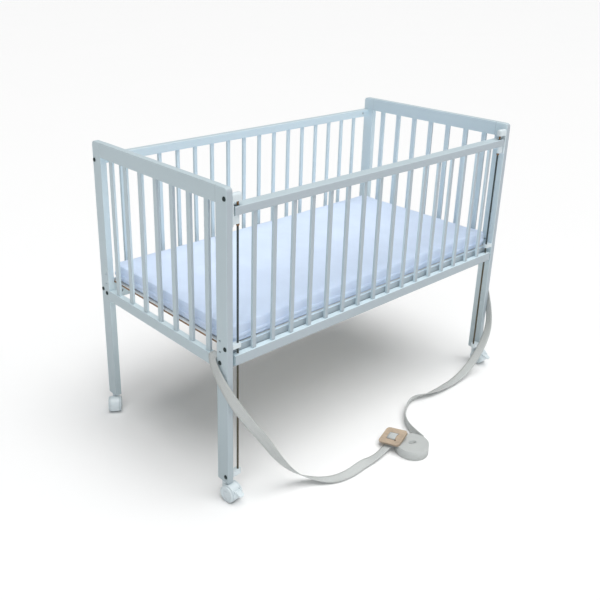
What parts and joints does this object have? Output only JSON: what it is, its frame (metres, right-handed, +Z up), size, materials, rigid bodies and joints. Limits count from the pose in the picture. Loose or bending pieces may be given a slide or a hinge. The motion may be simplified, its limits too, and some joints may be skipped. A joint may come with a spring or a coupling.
{
  "type": "bedside cot",
  "caption": "Slatted wooden bedside cot on twin-wheel casters, with a side that drops on guide rods, a mattress, and a webbing anchor strap with its plate.",
  "frame": {"origin": "on the floor, under the middle of the box round the cot and its casters, without the strap", "axes": "+X along the cot's length, -Y towards the drop side, +Z up"},
  "size_m": [1.3003, 0.892, 0.921],
  "materials": {
    "white_lacquered_wood": "satin white lacquer",
    "bare_beech": "waxed",
    "bare_pine": "planed",
    "mattress_board": "white faced, brown edge",
    "dark_steel_rod": "blackened, oiled",
    "black_bolts": "black zinc",
    "zinc_steel": "zinc plated",
    "white_nylon": "moulded",
    "mattress_cover": "fitted cotton sheet",
    "webbing": "woven polyester",
    "caster_plastic": "moulded",
    "wheel_plastic": "moulded"
  },
  "bodies": {
    "frame": {"post_front_left": "white_lacquered_wood", "post_front_right": "white_lacquered_wood", "post_back_left": "white_lacquered_wood", "post_back_right": "white_lacquered_wood", "caster_stems": "zinc_steel", "end_rail_dowels": "bare_beech", "end_top_rail_left": "white_lacquered_wood", "end_top_rail_right": "white_lacquered_wood", "end_bottom_rail_left": "white_lacquered_wood", "end_bottom_rail_right": "white_lacquered_wood", "end_slats_left": "white_lacquered_wood", "end_slats_right": "white_lacquered_wood", "back_top_rail": "white_lacquered_wood", "back_bottom_rail": "white_lacquered_wood", "back_slats": "white_lacquered_wood", "guide_rod_left": "dark_steel_rod", "guide_rod_right": "dark_steel_rod", "rod_top_brackets": "white_nylon", "rod_mid_guides": "white_nylon", "rod_foot_brackets": "white_nylon", "base_rail_front": "white_lacquered_wood", "base_rail_back": "white_lacquered_wood", "mattress_board": "mattress_board", "base_battens": "bare_pine", "mattress": "mattress_cover", "frame_bolts": "black_bolts", "barrel_nuts": "zinc_steel", "bracket_bolts": "black_bolts", "strap_loops": "webbing", "strap_left": "webbing", "strap_right": "webbing", "strap_roll": "webbing", "anchor_plate": "bare_beech"},
    "drop_side": {"drop_top_rail": "white_lacquered_wood", "drop_bottom_rail": "white_lacquered_wood", "drop_slats": "white_lacquered_wood", "rod_bushes": "white_nylon"},
    "catch_left": {"catch_left": "white_nylon"},
    "catch_right": {"catch_right": "white_nylon"},
    "caster_fl": {"caster_hood_fl": "caster_plastic", "caster_axle_fl": "zinc_steel"},
    "wheel_a_fl": {"caster_wheel_a_fl": "wheel_plastic"},
    "wheel_b_fl": {"caster_wheel_b_fl": "wheel_plastic"},
    "pedal_fl": {"brake_pedal_fl": "caster_plastic"},
    "caster_fr": {"caster_hood_fr": "caster_plastic", "caster_axle_fr": "zinc_steel"},
    "wheel_a_fr": {"caster_wheel_a_fr": "wheel_plastic"},
    "wheel_b_fr": {"caster_wheel_b_fr": "wheel_plastic"},
    "pedal_fr": {"brake_pedal_fr": "caster_plastic"},
    "caster_bl": {"caster_hood_bl": "caster_plastic", "caster_axle_bl": "zinc_steel"},
    "wheel_a_bl": {"caster_wheel_a_bl": "wheel_plastic"},
    "wheel_b_bl": {"caster_wheel_b_bl": "wheel_plastic"},
    "caster_br": {"caster_hood_br": "caster_plastic", "caster_axle_br": "zinc_steel"},
    "wheel_a_br": {"caster_wheel_a_br": "wheel_plastic"},
    "wheel_b_br": {"caster_wheel_b_br": "wheel_plastic"}
  },
  "joints": [
    {"name": "drop_side_slide", "type": "slide", "parent": "frame", "child": "drop_side", "axis": [0, 0, 1], "range_m": [-0.28, 0]},
    {"name": "catch_left_turn", "type": "hinge", "parent": "frame", "child": "catch_left", "pos_m": [-0.5659, -0.2899, 0.833], "axis": [0, 0, 1], "range_deg": [-90, 0]},
    {"name": "catch_right_turn", "type": "hinge", "parent": "frame", "child": "catch_right", "pos_m": [0.5881, -0.2899, 0.833], "axis": [0, 0, 1], "range_deg": [0, 90]},
    {"name": "caster_swivel_fl", "type": "hinge", "parent": "frame", "child": "caster_fl", "pos_m": [-0.5989, -0.2774, 0.05], "axis": [0, 0, 1], "continuous": true},
    {"name": "wheel_a_spin_fl", "type": "hinge", "parent": "caster_fl", "child": "wheel_a_fl", "pos_m": [-0.59698, -0.29932, 0.025], "axis": [0.9962, 0.0872, 0], "continuous": true},
    {"name": "wheel_b_spin_fl", "type": "hinge", "parent": "caster_fl", "child": "wheel_b_fl", "pos_m": [-0.59698, -0.29932, 0.025], "axis": [0.9962, 0.0872, 0], "continuous": true},
    {"name": "brake_pedal_fl", "type": "hinge", "parent": "caster_fl", "child": "pedal_fl", "pos_m": [-0.59472, -0.3252, 0.04], "axis": [0.9962, 0.0872, 0], "range_deg": [0, 18]},
    {"name": "caster_swivel_fr", "type": "hinge", "parent": "frame", "child": "caster_fr", "pos_m": [0.6211, -0.2774, 0.05], "axis": [0, 0, 1], "continuous": true},
    {"name": "wheel_a_spin_fr", "type": "hinge", "parent": "caster_fr", "child": "wheel_a_fr", "pos_m": [0.61995, -0.29937, 0.025], "axis": [0.9986, -0.0523, 0], "continuous": true},
    {"name": "wheel_b_spin_fr", "type": "hinge", "parent": "caster_fr", "child": "wheel_b_fr", "pos_m": [0.61995, -0.29937, 0.025], "axis": [0.9986, -0.0523, 0], "continuous": true},
    {"name": "brake_pedal_fr", "type": "hinge", "parent": "caster_fr", "child": "pedal_fr", "pos_m": [0.61859, -0.32532, 0.04], "axis": [0.9986, -0.0523, 0], "range_deg": [0, 18]},
    {"name": "caster_swivel_bl", "type": "hinge", "parent": "frame", "child": "caster_bl", "pos_m": [-0.5989, 0.3236, 0.05], "axis": [0, 0, 1], "continuous": true},
    {"name": "wheel_a_spin_bl", "type": "hinge", "parent": "caster_bl", "child": "wheel_a_bl", "pos_m": [-0.61152, 0.30558, 0.025], "axis": [0.8192, -0.5736, 0], "continuous": true},
    {"name": "wheel_b_spin_bl", "type": "hinge", "parent": "caster_bl", "child": "wheel_b_bl", "pos_m": [-0.61152, 0.30558, 0.025], "axis": [0.8192, -0.5736, 0], "continuous": true},
    {"name": "caster_swivel_br", "type": "hinge", "parent": "frame", "child": "caster_br", "pos_m": [0.6211, 0.3236, 0.05], "axis": [0, 0, 1], "continuous": true},
    {"name": "wheel_a_spin_br", "type": "hinge", "parent": "caster_br", "child": "wheel_a_br", "pos_m": [0.6143, 0.30268, 0.025], "axis": [0.9511, -0.309, 0], "continuous": true},
    {"name": "wheel_b_spin_br", "type": "hinge", "parent": "caster_br", "child": "wheel_b_br", "pos_m": [0.6143, 0.30268, 0.025], "axis": [0.9511, -0.309, 0], "continuous": true}
  ]
}
